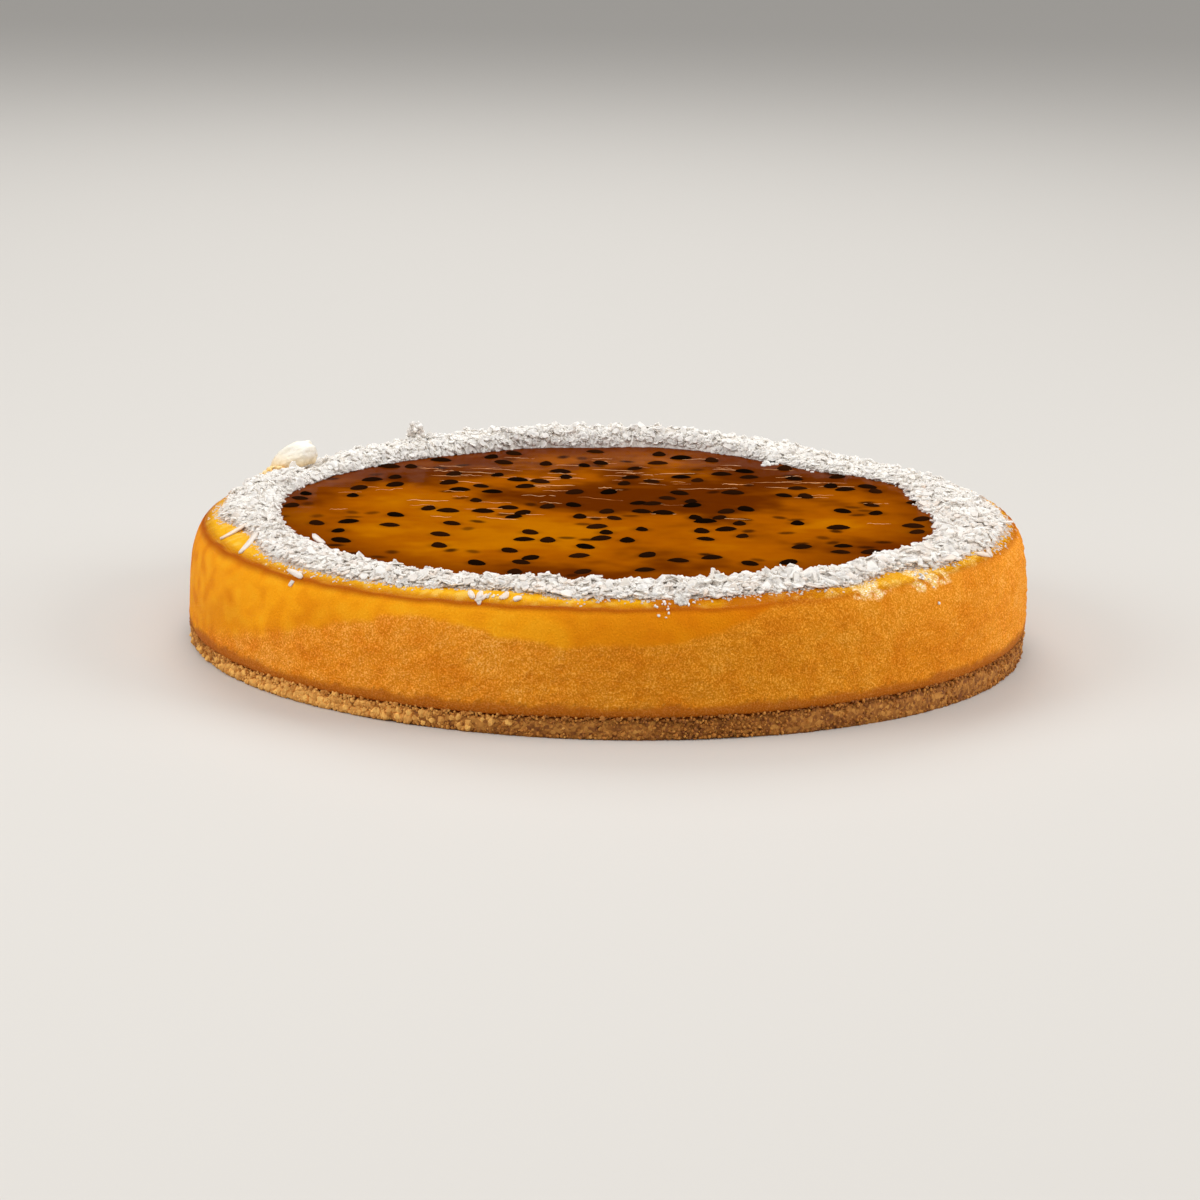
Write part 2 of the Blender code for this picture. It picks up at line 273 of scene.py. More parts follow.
biscuit, tree, shader = new_finish("pressed_biscuit_crumb", Roughness=0.85)
place = add_node(tree, "ShaderNodeTexCoord").outputs["Object"]
crumbs = add_node(tree, "ShaderNodeTexVoronoi", {"Vector": place, "Scale": 1.0 / 0.0011})
clumps_in = {"Vector": place, "Scale": 1.0 / 0.004, "Detail": 4.0}
clumps = add_node(tree, "ShaderNodeTexNoise", clumps_in).outputs["Fac"]
tone_in = {0: 0.55, 2: crumbs.outputs["Color"], 3: clumps}
tone = add_node(tree, "ShaderNodeMix", tone_in, data_type="FLOAT").outputs[0]
biscuit_stops = ((0.28, seen(118, 62, 8)), (0.5, seen(168, 104, 30)), (0.72, seen(208, 144, 62)))
tree.links.new(ramp_of(tree, tone, biscuit_stops), shader.inputs["Base Color"])
raise_surface(tree, shader, tone, 0.6, 0.0005)
dress(crumb_base, biscuit)
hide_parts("crumb_base")


def shape_of(piece):
    """The points and faces of a small modelled shape, which is then taken away."""
    points = points_of(piece)
    faces = [tuple(face.vertices) for face in piece.data.polygons]
    bpy.data.objects.remove(piece)
    return points, faces


def set_out(name, shapes, places):
    """One mesh that holds a copy of a shape for each place: (number of the shape, its matrix, its tone)."""
    points, faces, tones = [], [], []
    start = 0
    for number, matrix, tone in places:
        shape_points, shape_faces = shapes[number]
        matrix = np.array(matrix)
        points.append(shape_points @ matrix[:3, :3].T + matrix[:3, 3])
        faces += [tuple(start + index for index in face) for face in shape_faces]
        tones.append(np.full(len(shape_points), tone))
        start += len(shape_points)
    mesh = bpy.data.meshes.new(name)
    mesh.from_pydata(np.concatenate(points).tolist(), [], faces)
    piece = bpy.data.objects.new(name, mesh)
    bpy.context.scene.collection.objects.link(piece)
    mark(piece, "tone", np.concatenate(tones))
    return piece


def made_uneven(seed, offset):
    """Moves each corner of the newly added shape at random, and returns its points and faces."""
    bpy.ops.object.mode_set(mode="EDIT")
    bpy.ops.mesh.select_all(action="SELECT")
    bpy.ops.transform.vertex_random(offset=offset, seed=seed)
    bpy.ops.object.mode_set(mode="OBJECT")
    return shape_of(bpy.context.object)


def crumb_shape(seed):
    """One angular biscuit crumb, about 1 across."""
    bpy.ops.object.select_all(action="DESELECT")
    bpy.ops.mesh.primitive_ico_sphere_add(subdivisions=1, radius=0.5)
    return made_uneven(seed, 0.16)


def tumbled(draw, spot, size):
    """The matrix of a crumb of this size at a spot, turned any way and a little flat."""
    turn = Euler([draw.uniform(0.0, 2.0 * pi) for _ in range(3)]).to_matrix().to_4x4()
    return Matrix.Translation(spot) @ turn @ Matrix.Diagonal((size, size, size * 0.8, 1.0))


def settled_point(x, y, z):
    return Vector(settled(np.array([[x, y, z]]))[0])


# Small crumbs all round, and larger ones where the side has crumbled.
GRAIN_COUNT = 8500
BROKEN_COUNT = 400
BROKEN_RADIUS = TIN_RADIUS - 0.0007
BROKEN_RISE = 0.0052
draw = Random(41)
crumb_shapes = [crumb_shape(seed) for seed in range(1, 6)]
places = []
for _ in range(GRAIN_COUNT):
    around = draw.uniform(-pi, pi)
    height = draw.uniform(0.03, 1.10) * CRUMB_HEIGHT
    radius = TIN_RADIUS - draw.uniform(0.0004, 0.0012)
    radius += 0.0005 * float(ease(0.6, 1.0, height / CRUMB_HEIGHT))
    broken = float(stretch(around, BROKEN_MIDDLE, BROKEN_WIDTH))
    size = draw.uniform(0.0005, 0.0011) * (1.0 + (0.5 + 0.8 * broken) * draw.random() ** 3)
    spot = settled_point(radius * cos(around), radius * sin(around), height)
    spot.z = max(spot.z, 0.6 * size)
    matrix = tumbled(draw, spot, size)
    # Crumbs round the crumbled stretch at the front left are painted paler: painted light, where more light
    # falls on the base.
    painted_light_share = float(stretch(around, BROKEN_MIDDLE, PAINTED_LIGHT_WIDTH))
    number = draw.randrange(len(crumb_shapes))
    tone = (0.56 - 0.04 * painted_light_share) * draw.random() + 0.07 + 0.41 * painted_light_share
    places.append((number, matrix, tone))
for _ in range(BROKEN_COUNT):
    around = draw.gauss(radians(BROKEN_MIDDLE), 0.50 * radians(BROKEN_WIDTH))
    size = draw.uniform(0.0013, 0.0032)
    height = draw.random() * BROKEN_RISE
    spot = settled_point(BROKEN_RADIUS * cos(around), BROKEN_RADIUS * sin(around), height)
    spot.z = max(spot.z, 0.45 * size)
    matrix = tumbled(draw, spot, size)
    places.append((draw.randrange(len(crumb_shapes)), matrix, draw.uniform(0.6, 1.0)))
grains = set_out("biscuit_grains", crumb_shapes, places)

grain_finish, tree, shader = new_finish("biscuit_grain", Roughness=0.8)
grain_colour = toned(tree, seen(122, 64, 10), seen(190, 121, 40), seen(246, 188, 96))
tree.links.new(grain_colour, shader.inputs["Base Color"])
dress(grains, grain_finish)


# Baked filling.
# Cream cheese custard, baked until its skin browned. The tin's wall left a fine grain on the side, with a
# smoother skin above. It has a browned band at its foot, and a wet yellow shoulder inside a thin brown lip.
FILLING_TOP = 0.0402
LIP_RADIUS = 0.1262
LIP_HEIGHT = 0.0374
JELLY_RADIUS = 0.1120
JELLY_BED = 0.0380
GAP = 0.0003
FILLING_FOOT = CRUMB_HEIGHT + GAP
FILLING_ROUND = 1040
FILLING_ROW = 0.00075
BAND_TOP = 0.0098

shoulder = [
    (JELLY_RADIUS + GAP, FILLING_TOP - 0.0004),
    (JELLY_RADIUS + 0.0016, FILLING_TOP),
    (0.1190, FILLING_TOP - 0.0003),
    (0.1226, FILLING_TOP - 0.0010),
    (0.1247, FILLING_TOP - 0.0019),
    (LIP_RADIUS, LIP_HEIGHT),
]
side = [
    (LIP_RADIUS + 0.0014, LIP_HEIGHT - 0.0019),
    (LIP_RADIUS + 0.0026, LIP_HEIGHT - 0.0049),
    (TIN_RADIUS - 0.0006, 0.0285),
    (TIN_RADIUS + 0.0001, 0.0220),
    (TIN_RADIUS + 0.0003, 0.0110),
    (TIN_RADIUS + 0.0005, FILLING_FOOT + 0.0026),
    (TIN_RADIUS + 0.0001, FILLING_FOOT + 0.0004),
    (TIN_RADIUS - 0.0006, FILLING_FOOT),
]
filling_outline = fine_outline([(JELLY_RADIUS + GAP, JELLY_BED)] + shoulder + side, FILLING_ROW)
filling = raised_ring_by_ring("baked_custard_filling", filling_outline, FILLING_ROUND)
points = points_of(filling)
radius, angle = round_the_axis(points)
height = points[:, 2]
slow = lumps(points, 0.030, 2.0)
medium = lumps(points, 0.0090, 5.0)
small = lumps(points, 0.0030, 9.0)
fine = lumps(points, 0.0012, 4.0)

right_side = ease(radians(-86.0), radians(-58.0), angle) * (1.0 - ease(radians(70.0), radians(110.0), angle))
# The height where the grain ends and the skin starts: highest at the right and lowest at the left.
skin_line = 0.0270 + 0.0012 * slow + 0.0052 * stretch(angle, -114.0, 24.0) + 0.0130 * right_side
skin_line = skin_line - 0.0220 * stretch(angle, 180.0, 66.0) + 0.0018 * medium + 0.0008 * small
skin_soft = 0.0008 + 0.0030 * stretch(angle, 180.0, 75.0)
skin = ease(-1.0, 1.0, (height - skin_line) / skin_soft)
on_top = ease(LIP_HEIGHT - 0.0004, LIP_HEIGHT + 0.0003, height)
lip_fade = 1.0 - 0.8 * stretch(angle, -40.0, 52.0)
lip_wide = 0.0009 + 0.0007 * stretch(angle, -155.0, 55.0)
below_lip = LIP_HEIGHT + 0.0002 + 0.0005 * medium - height
lip = ease(-0.0003, 0.0003, below_lip) * (1.0 - ease(0.0003, 1.9 * lip_wide, below_lip)) * lip_fade
band = 1.0 - ease(-0.0008, 0.0008, height - BAND_TOP - 0.0012 * medium - 0.0006 * small)
# Two places at the lip where the skin is torn, in degrees: (middle, width).
TORN_PLACES = ((-41.5, 5.0), (-53.0, 4.0))
torn_zone = sum(stretch(angle, middle, width) for middle, width in TORN_PLACES)
torn = ease(0.3, 0.6, torn_zone + 0.9 * small + 0.5 * fine) * np.clip(4.0 * torn_zone, 0.0, 1.0)
torn = torn * ease(0.0350, 0.0362, height + 0.0014 * small)

grainy = (1.0 - skin) * (1.0 - band)
out = 0.00022 * slow + 0.00016 * medium + grainy * (0.00032 * small + 0.00055 * fine)
out = out + 0.00015 * lip + band * 0.00010 * small - 0.0004 * torn * (0.6 + 2.0 * small + 1.5 * fine)
out = out + on_top * (0.00025 * medium + 0.00012 * small + 0.00020 * fine)
outwards = np.column_stack((np.cos(angle), np.sin(angle), np.zeros(len(points))))
upwards = np.array((0.0, 0.0, 1.0))
facing_up = ease(FILLING_TOP - 0.0050, FILLING_TOP - 0.0010, height)[:, None]
inside_bed = (radius < JELLY_RADIUS + 0.0012)[:, None]
direction = outwards * (1.0 - facing_up) + upwards * facing_up
moved = points + np.where(inside_bed, 0.0, out[:, None] * direction)
put_points(filling, settled(moved))

SIDE_GOLD = seen(250, 157, 36)
BLOTCH_BROWN = seen(220, 122, 6)
FRONT_GOLD_PAINTED_SHADE = seen(228, 141, 22)
UPPER_SKIN = seen(255, 166, 18)
FRONT_UPPER_PAINTED_SHADE = seen(224, 126, 2)
BROWN_BAND = seen(188, 104, 24)
LIP_BROWN = seen(176, 80, 2)
SHOULDER_YELLOW = seen(252, 184, 20)
SHOULDER_ORANGE = seen(198, 111, 2)
SHOULDER_PALE_AND_GLINT = seen(252, 206, 84)
TORN_PALE = seen(255, 220, 122)
FOOT_PIT = seen(120, 60, 8)
# The front of the side, low and high, is painted darker than its left and right: painted shade, where less
# light falls.
front = stretch(angle, -70.0, 62.0)
colours = blend(front, SIDE_GOLD, FRONT_GOLD_PAINTED_SHADE)
colours = blend(skin, colours, blend(stretch(angle, -66.0, 46.0), UPPER_SKIN, FRONT_UPPER_PAINTED_SHADE))
colours = blend(0.35 * ease(0.1, 0.4, slow + 0.1), colours, BLOTCH_BROWN)
patchy = lumps(points * (1.0, 1.0, 1.4), 0.0056, 21.0) + 0.6 * medium
mottled = 0.42 + 0.50 * stretch(angle, 180.0, 85.0)
colours = blend(mottled * ease(0.05, 0.5, patchy), colours, colours * (0.90, 0.76, 0.55))
colours = blend(mottled * ease(0.05, 0.5, -patchy), colours, colours * (1.04, 1.18, 1.90))
foot_pits = np.exp(-(((height - BAND_TOP - 0.0004 - 0.0012 * medium) / 0.0005) ** 2)) * ease(0.0, 0.3, fine)
colours = blend(0.45 * foot_pits, colours, FOOT_PIT)
colours = blend(band * 0.90, colours, BROWN_BAND)
burnt = ease(radians(-94.0), radians(-80.0), angle + 0.3 * medium)
burnt = burnt * (1.0 - 0.7 * ease(radians(-66.0), radians(-50.0), angle))
burnt = np.maximum(burnt, 0.8 * ease(0.1225, 0.1256, radius))
top_colour = blend(burnt, SHOULDER_YELLOW, SHOULDER_ORANGE)
# Pale spots on the wet shoulder: partly the custard's own paler patches and partly painted glints of light on
# its wet top.
pale_spots_and_glints = ease(0.1, 0.4, small + 0.5 * medium) * (1.0 - 0.75 * burnt)
top_colour = blend(0.7 * pale_spots_and_glints, top_colour, SHOULDER_PALE_AND_GLINT)
far_left = stretch(angle, 178.0, 50.0)
colours = blend(far_left, colours, colours * (0.94, 0.86, 0.95))
colours = blend(on_top, colours, top_colour)
colours = blend(0.95 * lip, colours, LIP_BROWN)
colours = blend(torn * np.clip(0.7 + 0.9 * fine, 0.0, 1.0), colours, TORN_PALE)
paint(filling, "custard", colours)
mark(filling, "grainy", np.maximum(grainy, np.maximum(0.6 * band, torn)))
mark(filling, "wet", on_top * (1.0 - torn))

custard, tree, shader = new_finish("baked_custard", Specular_IOR_Level=0.03)
colour = add_node(tree, "ShaderNodeAttribute", attribute_name="custard").outputs["Color"]
rough_part = add_node(tree, "ShaderNodeAttribute", attribute_name="grainy").outputs["Fac"]
wet_part = add_node(tree, "ShaderNodeAttribute", attribute_name="wet").outputs["Fac"]
strength = add_node(tree, "ShaderNodeMapRange", {0: rough_part, 3: 0.15, 4: 0.82}).outputs[0]
grain_height = grained(tree, shader, colour, 0.00055, strength)
raise_surface(tree, shader, grain_height, 0.5, 0.0006)
roughness = add_node(tree, "ShaderNodeMapRange", {0: wet_part, 3: 0.60, 4: 0.25}).outputs[0]
tree.links.new(roughness, shader.inputs["Roughness"])
dress(filling, custard)
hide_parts("baked_filling")


# Passion fruit jelly.
# Passion fruit juice set with gelatine in the filling's sunken top. It is clear amber over the yellow
# custard, darker where it is deeper and painted darker towards the far side as painted shade, glossy,
# with a skin that has wrinkled in thin lines.
JELLY_TOP = 0.0404
JELLY_ROUND = 520
JELLY_ROW = 0.0010
RING_INSIDE = 0.1034
SEED_HALF_SIZE = (0.0028, 0.0019, 0.0010)
SEED_PROUD = 0.0005
SEED_COUNT = 130
SEED_SPACING = 0.0068
PATCH_MIDDLE = Vector((0.010, 0.012))
PATCH_INNER = 0.012
PATCH_OUTER = 0.035
PATCH_CLOSENESS = 0.45
SUNKEN_COUNT = 60
SUNKEN_SPACING = 0.0046

draw = Random(11)
seed_spots = []
while len(seed_spots) < SEED_COUNT:
    radius = (RING_INSIDE - 2.0 * SEED_HALF_SIZE[1]) * draw.random() ** 0.5
    around = draw.uniform(-pi, pi)
    spot = Vector((radius * cos(around), radius * sin(around)))
    in_patch = 1.0 - float(ease(PATCH_INNER, PATCH_OUTER, (spot - PATCH_MIDDLE).length))
    room = SEED_SPACING * (1.0 - PATCH_CLOSENESS * in_patch)
    if all((spot - other).length > room for other in seed_spots):
        seed_spots.append(spot)
sunken_spots = []
while len(sunken_spots) < SUNKEN_COUNT:
    radius = RING_INSIDE * draw.random() ** 0.5
    around = draw.uniform(-pi, pi)
    spot = Vector((radius * cos(around), radius * sin(around)))
    if all((spot - other).length > SUNKEN_SPACING for other in seed_spots + sunken_spots):
        sunken_spots.append(spot)

jelly_outline = fine_outline(
    [
        (0.0006, JELLY_TOP),
        (JELLY_RADIUS - 0.0010, JELLY_TOP),
        (JELLY_RADIUS - GAP, JELLY_TOP - 0.0006),
        (JELLY_RADIUS - GAP, JELLY_BED + GAP),
    ],
    JELLY_ROW,
)
jelly = raised_ring_by_ring("passion_fruit_jelly_top", jelly_outline, JELLY_ROUND)
points = points_of(jelly)
on_face = points[:, 2] > JELLY_TOP - 0.0001
flat = points * np.array((1.0, 1.0, 0.0))
across = flat * np.array((0.45, 1.0, 1.0))
waves = 0.00016 * lumps(across, 0.016, 1.0) + 0.00007 * lumps(across, 0.006, 7.0)
points[:, 2] += np.where(on_face, waves, 0.0)
put_points(jelly, settled(points))

JELLY_BRIGHT = seen(178, 102, 0)
JELLY_MID = seen(158, 81, 0)
JELLY_DARK = seen(94, 38, 0)
JELLY_RIM = seen(100, 39, 0)
SUNKEN_SEED = seen(38, 14, 2)
radius = np.hypot(points[:, 0], points[:, 1])
cloud = lumps(flat, 0.034, 5.0) + 0.5 * lumps(flat, 0.013, 2.0) + 0.25 * lumps(flat, 0.005, 2.0)


def patch(points, x, y, across, along):
    """1 at a place on the jelly, fading out over these lengths."""
    return np.exp(-(((points[:, 0] - x) / across) ** 2 + ((points[:, 1] - y) / along) ** 2))


light_patch = patch(points, -0.040, -0.030, 0.042, 0.034)
dark_patch = patch(points, 0.016, 0.015, 0.036, 0.028)
near_side = ease(0.050, 0.095, -points[:, 1])
far_side_painted_shade = ease(0.010, 0.085, points[:, 1])
# How dark the jelly is: random clouds, a lighter and a darker patch, darker towards the near side, and
# painted shade towards the far side, where the jelly mirrors the dark room.
depth = 0.50 + 0.55 * cloud - 0.45 * light_patch + 1.00 * dark_patch + 0.50 * far_side_painted_shade + 0.35 * near_side
colours = blend(ease(0.0, 0.5, depth), JELLY_BRIGHT, JELLY_MID)
colours = blend(ease(0.45, 1.1, depth), colours, JELLY_DARK)
colours = blend(0.75 * ease(0.078, 0.106, radius), colours, JELLY_RIM)
murk = np.zeros(len(points))
for number, spot in enumerate(sunken_spots):
    turn = 1.7 * number
    east = (points[:, 0] - spot.x) * cos(turn) + (points[:, 1] - spot.y) * sin(turn)
    north = (points[:, 1] - spot.y) * cos(turn) - (points[:, 0] - spot.x) * sin(turn)
    far = np.hypot(east / SEED_HALF_SIZE[0], north / SEED_HALF_SIZE[1])
    murk = np.maximum(murk, (0.55 + 0.4 * ((number * 7) % 10) / 10.0) * (1.0 - ease(0.55, 1.35, far)))
for spot in seed_spots:
    far = np.hypot(points[:, 0] - spot.x, points[:, 1] - spot.y) / SEED_HALF_SIZE[0]
    murk = np.maximum(murk, 0.35 * (1.0 - ease(0.6, 1.8, far)))
colours = blend(murk, colours, SUNKEN_SEED)
paint(jelly, "amber", colours)

amber, tree, shader = new_finish("set_passion_fruit_jelly", Roughness=0.12)
colour = add_node(tree, "ShaderNodeAttribute", attribute_name="amber").outputs["Color"]
grained(tree, shader, colour, 0.0050, 0.10)
# It mirrors less where it is seen from low down, or the lamps would hide its amber.
facing = add_node(tree, "ShaderNodeLayerWeight", {"Blend": 0.5}).outputs["Facing"]
mirror = add_node(tree, "ShaderNodeMapRange", {0: facing, 1: 0.45, 2: 0.75, 3: 1.33, 4: 1.02}).outputs[0]
tree.links.new(mirror, shader.inputs["IOR"])
place = add_node(tree, "ShaderNodeTexCoord").outputs["Object"]
skin_lines = add_node(tree, "ShaderNodeMapping", {"Vector": place, "Scale": (0.35, 1.0, 1.0)}).outputs[0]
ripple_in = {"Vector": skin_lines, "Scale": 1.0 / 0.004, "Detail": 2.0}
raise_surface(tree, shader, add_node(tree, "ShaderNodeTexNoise", ripple_in).outputs["Fac"], 0.12, 0.0006)
dress(jelly, amber)
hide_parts("passion_fruit_jelly")


def pip_shape(slim):
    """One passion fruit seed, about 2 long, pointed at one end: slim says how much it narrows."""
    bpy.ops.object.select_all(action="DESELECT")
    bpy.ops.mesh.primitive_uv_sphere_add(segments=14, ring_count=8, radius=1.0)
    piece = bpy.context.object
    points = points_of(piece)
    points[:, 1] *= 1.0 - slim * ease(-0.2, 1.0, points[:, 0])
    put_points(piece, points)
    bpy.ops.object.shade_smooth()
    return shape_of(piece)


# Each seed is drawn this much larger than its bare size, so that the seeds darken the jelly as real ones do.
SEED_SWELL = 1.34
pip_shapes = [pip_shape(slim) for slim in (0.25, 0.4, 0.55)]
turn_seed = Random(5)
places = []
for number, spot in enumerate(seed_spots):
    turn = turn_seed.uniform(0.0, pi)
    size = turn_seed.uniform(0.88, 1.1)
    centre = settled_point(spot.x, spot.y, JELLY_TOP + SEED_PROUD - SEED_HALF_SIZE[2])
    spread = Matrix.Diagonal((*(SEED_SWELL * size * half for half in SEED_HALF_SIZE), 1.0))
    matrix = Matrix.Translation(centre) @ Euler((0.0, 0.0, turn)).to_matrix().to_4x4() @ spread
    places.append((number % len(pip_shapes), matrix, turn_seed.random()))
pips = set_out("passion_fruit_seeds", pip_shapes, places)
pips.data.shade_smooth()
pip_finish, tree, shader = new_finish("passion_fruit_seed", Roughness=0.5, Specular_IOR_Level=0.0)
tree.links.new(toned(tree, seen(14, 7, 3), seen(44, 20, 6)), shader.inputs["Base Color"])
dress(pips, pip_finish)


def cut_across(places):
    """Cuts the shape being edited straight across at each of these places along it."""
    for place in places:
        bpy.ops.mesh.select_all(action="SELECT")
        bpy.ops.mesh.bisect(plane_co=(place, 0.0, 0.0), plane_no=(1.0, 0.0, 0.0))


def wrinkle(seed):
    """One wrinkle of the jelly's skin, about 1 long before it is sized: wavy, with pointed ends."""
    bpy.ops.object.select_all(action="DESELECT")
    bpy.ops.mesh.primitive_cylinder_add(vertices=6, radius=0.5, depth=1.0, rotation=(0.0, radians(90.0), 0.0))
    bpy.ops.object.transform_apply(location=True, rotation=True, scale=True)
    bpy.ops.object.mode_set(mode="EDIT")
    cut_across([cut / 16.0 - 0.5 for cut in range(1, 16)])
    bpy.ops.object.mode_set(mode="OBJECT")
    piece = bpy.context.object
    points = points_of(piece)
    along = points[:, 0]
    line = points * (1.0, 0.0, 0.0)
    slim = np.sqrt(np.clip(1.0 - (2.0 * along) ** 2, 0.0001, 1.0)) * (0.65 + 0.6 * lumps(line, 0.12, seed))
    waver = lumps(line, 0.22, 3.0 * seed)
    points[:, 1] = points[:, 1] * slim + 4.0 * waver
    points[:, 2] *= slim
    put_points(piece, points)
    return shape_of(piece)


# Wrinkles lie more thickly towards the back.
WRINKLE_COUNT = 84
WRINKLE_REACH = 0.096
draw = Random(31)
wrinkle_shapes = [wrinkle(seed) for seed in range(1, 9)]
places = []
while len(places) < WRINKLE_COUNT:
    x = draw.uniform(-0.094, 0.090)
    y = draw.uniform(-0.036, 0.088)
    length = draw.uniform(0.005, 0.023)
    if hypot(abs(x) + 0.5 * length, y) > WRINKLE_REACH or draw.random() > 0.35 + y / 0.12:
        continue
    size = (length, draw.uniform(0.00025, 0.00055), draw.uniform(0.0002, 0.0003))
    turn = Matrix.Rotation(draw.gauss(0.0, 0.16), 4, "Z")
    matrix = Matrix.Translation(settled_point(x, y, JELLY_TOP)) @ turn @ Matrix.Diagonal((*size, 1.0))
    places.append((draw.randrange(len(wrinkle_shapes)), matrix, draw.random()))
wrinkles = set_out("jelly_skin_wrinkles", wrinkle_shapes, places)
wrinkles.data.shade_smooth()
glinting_wrinkle, tree, shader = new_finish("jelly_wrinkle_painted_glint", Roughness=0.3, Specular_IOR_Level=0.15)
# The wrinkles' pale colour is a painted glint: it stands for the lamps' light along their ridges.
tree.links.new(toned(tree, seen(206, 120, 40), seen(252, 200, 142)), shader.inputs["Base Color"])
dress(wrinkles, glinting_wrinkle)


# Coconut ring.
# Dry desiccated coconut scattered by hand over the jelly's edge and the shoulder: fine crumbs, thin angular
# flakes and longer curled shreds. It is heaped highest at the back, and one tuft stands up at the back left.
RING_OUTSIDE = 0.1214
RING_EDGE = 0.0009
RING_CREST = 0.0014
RING_GAP = 0.0008
RING_RAGGED = 0.0012
# Where the ring's edges and crest move outwards or up: (middle and width in degrees, how far).
INNER_EDGE_STRETCHES = (
    (48.0, 26.0, -0.0078),
    (8.0, 24.0, -0.0050),
    (82.0, 15.0, 0.0048),
    (-32.0, 24.0, 0.0030),
    (-126.0, 26.0, 0.0020),
    (-95.0, 78.0, 0.0034),
    (103.0, 18.0, 0.0030),
    (-52.0, 14.0, 0.0040),
)
OUTER_EDGE_STRETCHES = (
    (-160.0, 17.0, -0.0062),
    (-106.0, 15.0, -0.0028),
    (-45.0, 9.0, -0.0044),
    (-8.0, 32.0, 0.0018),
    (160.0, 16.0, 0.0012),
)
CREST_STRETCHES = (
    (98.0, 72.0, 0.0051),
    (165.0, 34.0, 0.0016),
    (-52.0, 15.0, -0.0006),
)
LUMP_PLACE = Vector((-0.1030, 0.0600))
LUMP_BED = 0.0014
LUMP_NEST = (0.0075, 0.0120)
BED_ROUND = 1300
BED_ROWS = 34
BED_TONE = 0.20
LOOSE_DEPTH = 0.0011


def stretched(angle, stretches):
    return sum(depth * stretch(angle, middle, width) for middle, width, depth in stretches)


def ring_edges(angle):
    """The ring's inner and outer radius at each angle."""
    ring = np.column_stack((angle, np.zeros(len(angle)), np.zeros(len(angle))))
    ragged_inside = lumps(ring * 9.0 + (0.0, 0.0, 2.0), 1.0)
    ragged_outside = lumps(ring * 7.0 + (0.0, 5.0, 2.0), 1.0)
    fringe = (0.0010 + 0.0022 * stretch(angle, 14.0, 46.0)) * lumps(ring * 44.0, 1.0, 3.0)
    inside = RING_INSIDE + GAP + RING_RAGGED * ragged_inside + fringe + stretched(angle, INNER_EDGE_STRETCHES)
    outside = RING_OUTSIDE + RING_RAGGED * ragged_outside + stretched(angle, OUTER_EDGE_STRETCHES)
    return inside, outside


def bed_height(radius):
    """The height that the coconut lies at, on the jelly and on the filling's shoulder."""
    rim, heights = np.array(shoulder).T
    return np.where(radius < JELLY_RADIUS + 0.0020, JELLY_TOP, np.interp(radius, rim, heights))


def ring_height(angle, share, x, y):
    """The heap's height over its bed, where share runs from 0 at the inner edge to 1 at the outer."""
    ring = np.column_stack((angle * 4.0, np.ones(len(angle)), np.full(len(angle), 7.0)))
    crest = RING_CREST + 0.0006 * lumps(ring, 1.0) + stretched(angle, CREST_STRETCHES)
    rounded = (4.0 * share * (1.0 - share)) ** 0.55 * (1.12 - 0.24 * share)
    heap = RING_EDGE * 0.4 + crest * rounded
    under_lump = 1.0 - ease(*LUMP_NEST, np.hypot(x - LUMP_PLACE.x, y - LUMP_PLACE.y))
    return heap + (LUMP_BED - 0.0004 - heap) * under_lump


ring_width = RING_OUTSIDE - RING_INSIDE
bed_outline = [(RING_INSIDE + ring_width * step / BED_ROWS, 1.0) for step in range(BED_ROWS + 1)]
bed_outline += [(far, 0.0) for far in (RING_OUTSIDE, RING_INSIDE + 0.5 * ring_width, RING_INSIDE)]
bed_outline.append((RING_INSIDE, 1.0))
coconut_bed = raised_ring_by_ring("coconut_bed", bed_outline, BED_ROUND)
points = points_of(coconut_bed)
radius, angle = round_the_axis(points)
share = np.clip((radius - RING_INSIDE) / ring_width, 0.0, 1.0)
inside, outside = ring_edges(angle)
radius = inside + share * (outside - inside)
x = radius * np.cos(angle)
y = radius * np.sin(angle)
loose = np.column_stack((x, y, np.zeros(len(x))))
clumpy = 0.0016 * np.maximum(lumps(loose, 0.0046), -0.2) + 0.0007 * lumps(loose, 0.0019, 3.0)
clumpy = clumpy + 0.0003 * lumps(loose, 0.0009, 6.0)
heap = ring_height(angle, share, x, y) - LOOSE_DEPTH + clumpy * ease(0.0, 0.05, 0.5 - np.abs(share - 0.5))
lift = np.where(points[:, 2] > 0.5, np.maximum(heap, 0.0002), -0.0004)
put_points(coconut_bed, settled(np.column_stack((x, y, bed_height(radius) + lift))))

coconut, tree, shader = new_finish(
    "dry_desiccated_coconut",
    Roughness=0.6,
    Specular_IOR_Level=0.1,
    Subsurface_Weight=0.45,
    Subsurface_Scale=0.0016,
    Subsurface_Radius=(1.0, 1.0, 1.0),
)
tone = add_node(tree, "ShaderNodeAttribute", attribute_name="tone").outputs["Fac"]
coconut_stops = (
    (0.0, seen(254, 249, 240)),
    (0.4, seen(232, 224, 214)),
    (0.75, seen(240, 214, 192)),
    (1.0, seen(214, 146, 78)),
)
grain_height = grained(tree, shader, ramp_of(tree, tone, coconut_stops), 0.0007, 0.012)
raise_surface(tree, shader, grain_height, 0.15, 0.0003)
mark(coconut_bed, "tone", np.full(len(points), BED_TONE))
dress(coconut_bed, coconut)
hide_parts("coconut_ring")


def ground_of(pieces):
    """What things dropped on these pieces come to lie on."""
    points, faces = [], []
    for piece in pieces:
        start = len(points)
        points += points_of(piece).tolist()
        faces += [tuple(start + index for index in face.vertices) for face in piece.data.polygons]
    return BVHTree.FromPolygons(points, faces)


ground = ground_of((coconut_bed, jelly, filling))
DROP_HEIGHT = 0.08


